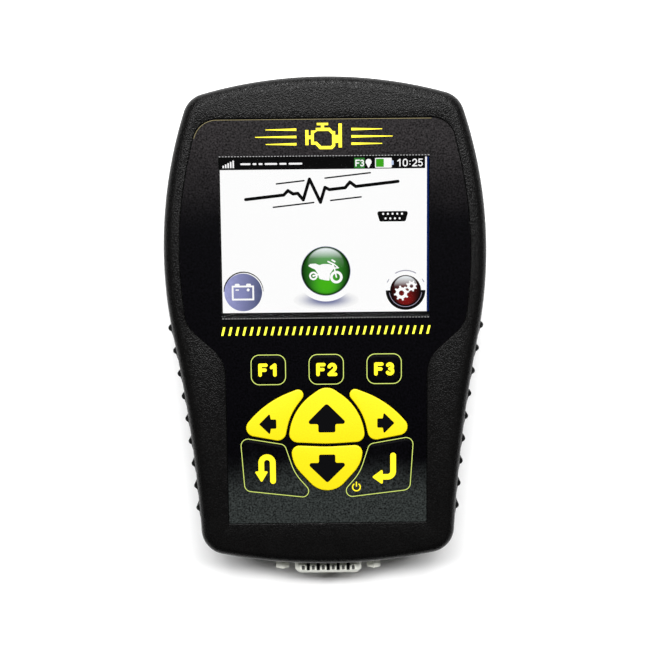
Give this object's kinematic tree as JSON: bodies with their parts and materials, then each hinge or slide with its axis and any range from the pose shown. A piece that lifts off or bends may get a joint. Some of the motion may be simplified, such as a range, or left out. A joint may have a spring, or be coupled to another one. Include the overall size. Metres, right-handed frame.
{
  "type": "handheld vehicle diagnostic code reader",
  "caption": "Handheld vehicle diagnostic code reader with a colour screen, a padded directional keypad, ribbed side grips and a D-shaped cable connector.",
  "frame": {"origin": "on the back, under the middle of the overall box", "axes": "+X to the right seen from the screen, +Y from the connector end towards the top of the screen, +Z out of the screen"},
  "size_m": [0.112, 0.1768, 0.034],
  "materials": {
    "case_plastic": "near-black, fine leather grain",
    "grip_rubber": "black, matt, ribbed",
    "label_film": "grey, blank, satin",
    "overlay_film": "near-black, finely textured film",
    "window_clear": "clear, polished",
    "foam": "black closed-cell foam",
    "frame_steel": "plain sheet steel",
    "lcd_glass": "clear, lit from behind",
    "light_guide": "white, translucent",
    "flex_film": "amber film",
    "board_green": "green solder mask",
    "chip_epoxy": "black moulded epoxy",
    "ferrite": "dark grey ferrite",
    "switch_black": "black",
    "can_aluminium": "drawn can",
    "cell_steel": "plated steel",
    "socket_plastic": "black",
    "plug_plastic": "off-white nylon",
    "battery_wrap": "blue heat-shrink sleeve",
    "wire_red": "red insulation",
    "wire_black": "black insulation",
    "shell_nickel": "bright nickel plate",
    "contact_gold": "gold plate",
    "screw_steel": "zinc plate",
    "key_yellow": "bright yellow, satin",
    "key_black": "near-black with a thin yellow-green outline"
  },
  "bodies": {
    "housing": {"front_cover": "case_plastic", "rear_cover": "case_plastic", "left_grip": "grip_rubber", "right_grip": "grip_rubber", "rating_label": "label_film", "front_overlay": "overlay_film", "display_window": "window_clear", "display_gasket": "foam", "lcd_frame": "frame_steel", "lcd_panel": "lcd_glass", "lcd_backlight": "light_guide", "lcd_ribbon": "flex_film", "ribbon_connector": "socket_plastic", "main_board": "board_green", "processor_chip": "chip_epoxy", "memory_chip": "chip_epoxy", "bus_transceiver": "chip_epoxy", "power_inductor": "ferrite", "battery_socket": "socket_plastic", "battery_plug": "plug_plastic", "filter_capacitor": "can_aluminium", "buzzer": "switch_black", "coin_cell_holder": "socket_plastic", "coin_cell": "cell_steel", "battery_pack": "battery_wrap", "battery_lead_red": "wire_red", "battery_lead_black": "wire_black", "connector_shell": "shell_nickel", "connector_insulator": "socket_plastic", "connector_contacts": "contact_gold", "jack_screw_left": "shell_nickel", "jack_screw_right": "shell_nickel", "case_screw_1": "screw_steel", "board_screw_1": "screw_steel", "case_screw_2": "screw_steel", "board_screw_2": "screw_steel", "case_screw_3": "screw_steel", "board_screw_3": "screw_steel", "case_screw_4": "screw_steel", "board_screw_4": "screw_steel", "switch_f1": "switch_black", "switch_f2": "switch_black", "switch_f3": "switch_black", "switch_up": "switch_black", "switch_down": "switch_black", "switch_left": "switch_black", "switch_right": "switch_black", "switch_back": "switch_black", "switch_enter": "switch_black"},
    "key_f1": {"key_f1": "key_black"},
    "key_f2": {"key_f2": "key_black"},
    "key_f3": {"key_f3": "key_black"},
    "key_up": {"key_up": "key_yellow"},
    "key_down": {"key_down": "key_yellow"},
    "key_left": {"key_left": "key_yellow"},
    "key_right": {"key_right": "key_yellow"},
    "key_back": {"key_back": "key_black"},
    "key_enter": {"key_enter": "key_black"},
    "battery_door": {"battery_door": "case_plastic", "door_screw": "screw_steel"}
  },
  "joints": [
    {"name": "key_f1_press", "type": "slide", "parent": "housing", "child": "key_f1", "axis": [0, 0, -1], "range_m": [0, 0.0004], "stiffness_N_per_m": 1000, "springref_m": -0.001},
    {"name": "key_f2_press", "type": "slide", "parent": "housing", "child": "key_f2", "axis": [0, 0, -1], "range_m": [0, 0.0004], "stiffness_N_per_m": 1000, "springref_m": -0.001},
    {"name": "key_f3_press", "type": "slide", "parent": "housing", "child": "key_f3", "axis": [0, 0, -1], "range_m": [0, 0.0004], "stiffness_N_per_m": 1000, "springref_m": -0.001},
    {"name": "key_up_press", "type": "slide", "parent": "housing", "child": "key_up", "axis": [0, 0, -1], "range_m": [0, 0.0004], "stiffness_N_per_m": 1000, "springref_m": -0.001},
    {"name": "key_down_press", "type": "slide", "parent": "housing", "child": "key_down", "axis": [0, 0, -1], "range_m": [0, 0.0004], "stiffness_N_per_m": 1000, "springref_m": -0.001},
    {"name": "key_left_press", "type": "slide", "parent": "housing", "child": "key_left", "axis": [0, 0, -1], "range_m": [0, 0.0004], "stiffness_N_per_m": 1000, "springref_m": -0.001},
    {"name": "key_right_press", "type": "slide", "parent": "housing", "child": "key_right", "axis": [0, 0, -1], "range_m": [0, 0.0004], "stiffness_N_per_m": 1000, "springref_m": -0.001},
    {"name": "key_back_press", "type": "slide", "parent": "housing", "child": "key_back", "axis": [0, 0, -1], "range_m": [0, 0.0004], "stiffness_N_per_m": 1000, "springref_m": -0.001},
    {"name": "key_enter_press", "type": "slide", "parent": "housing", "child": "key_enter", "axis": [0, 0, -1], "range_m": [0, 0.0004], "stiffness_N_per_m": 1000, "springref_m": -0.001},
    {"name": "battery_door_removal", "type": "slide", "parent": "housing", "child": "battery_door", "axis": [0, 0, -1], "range_m": [0, 0.012]}
  ]
}
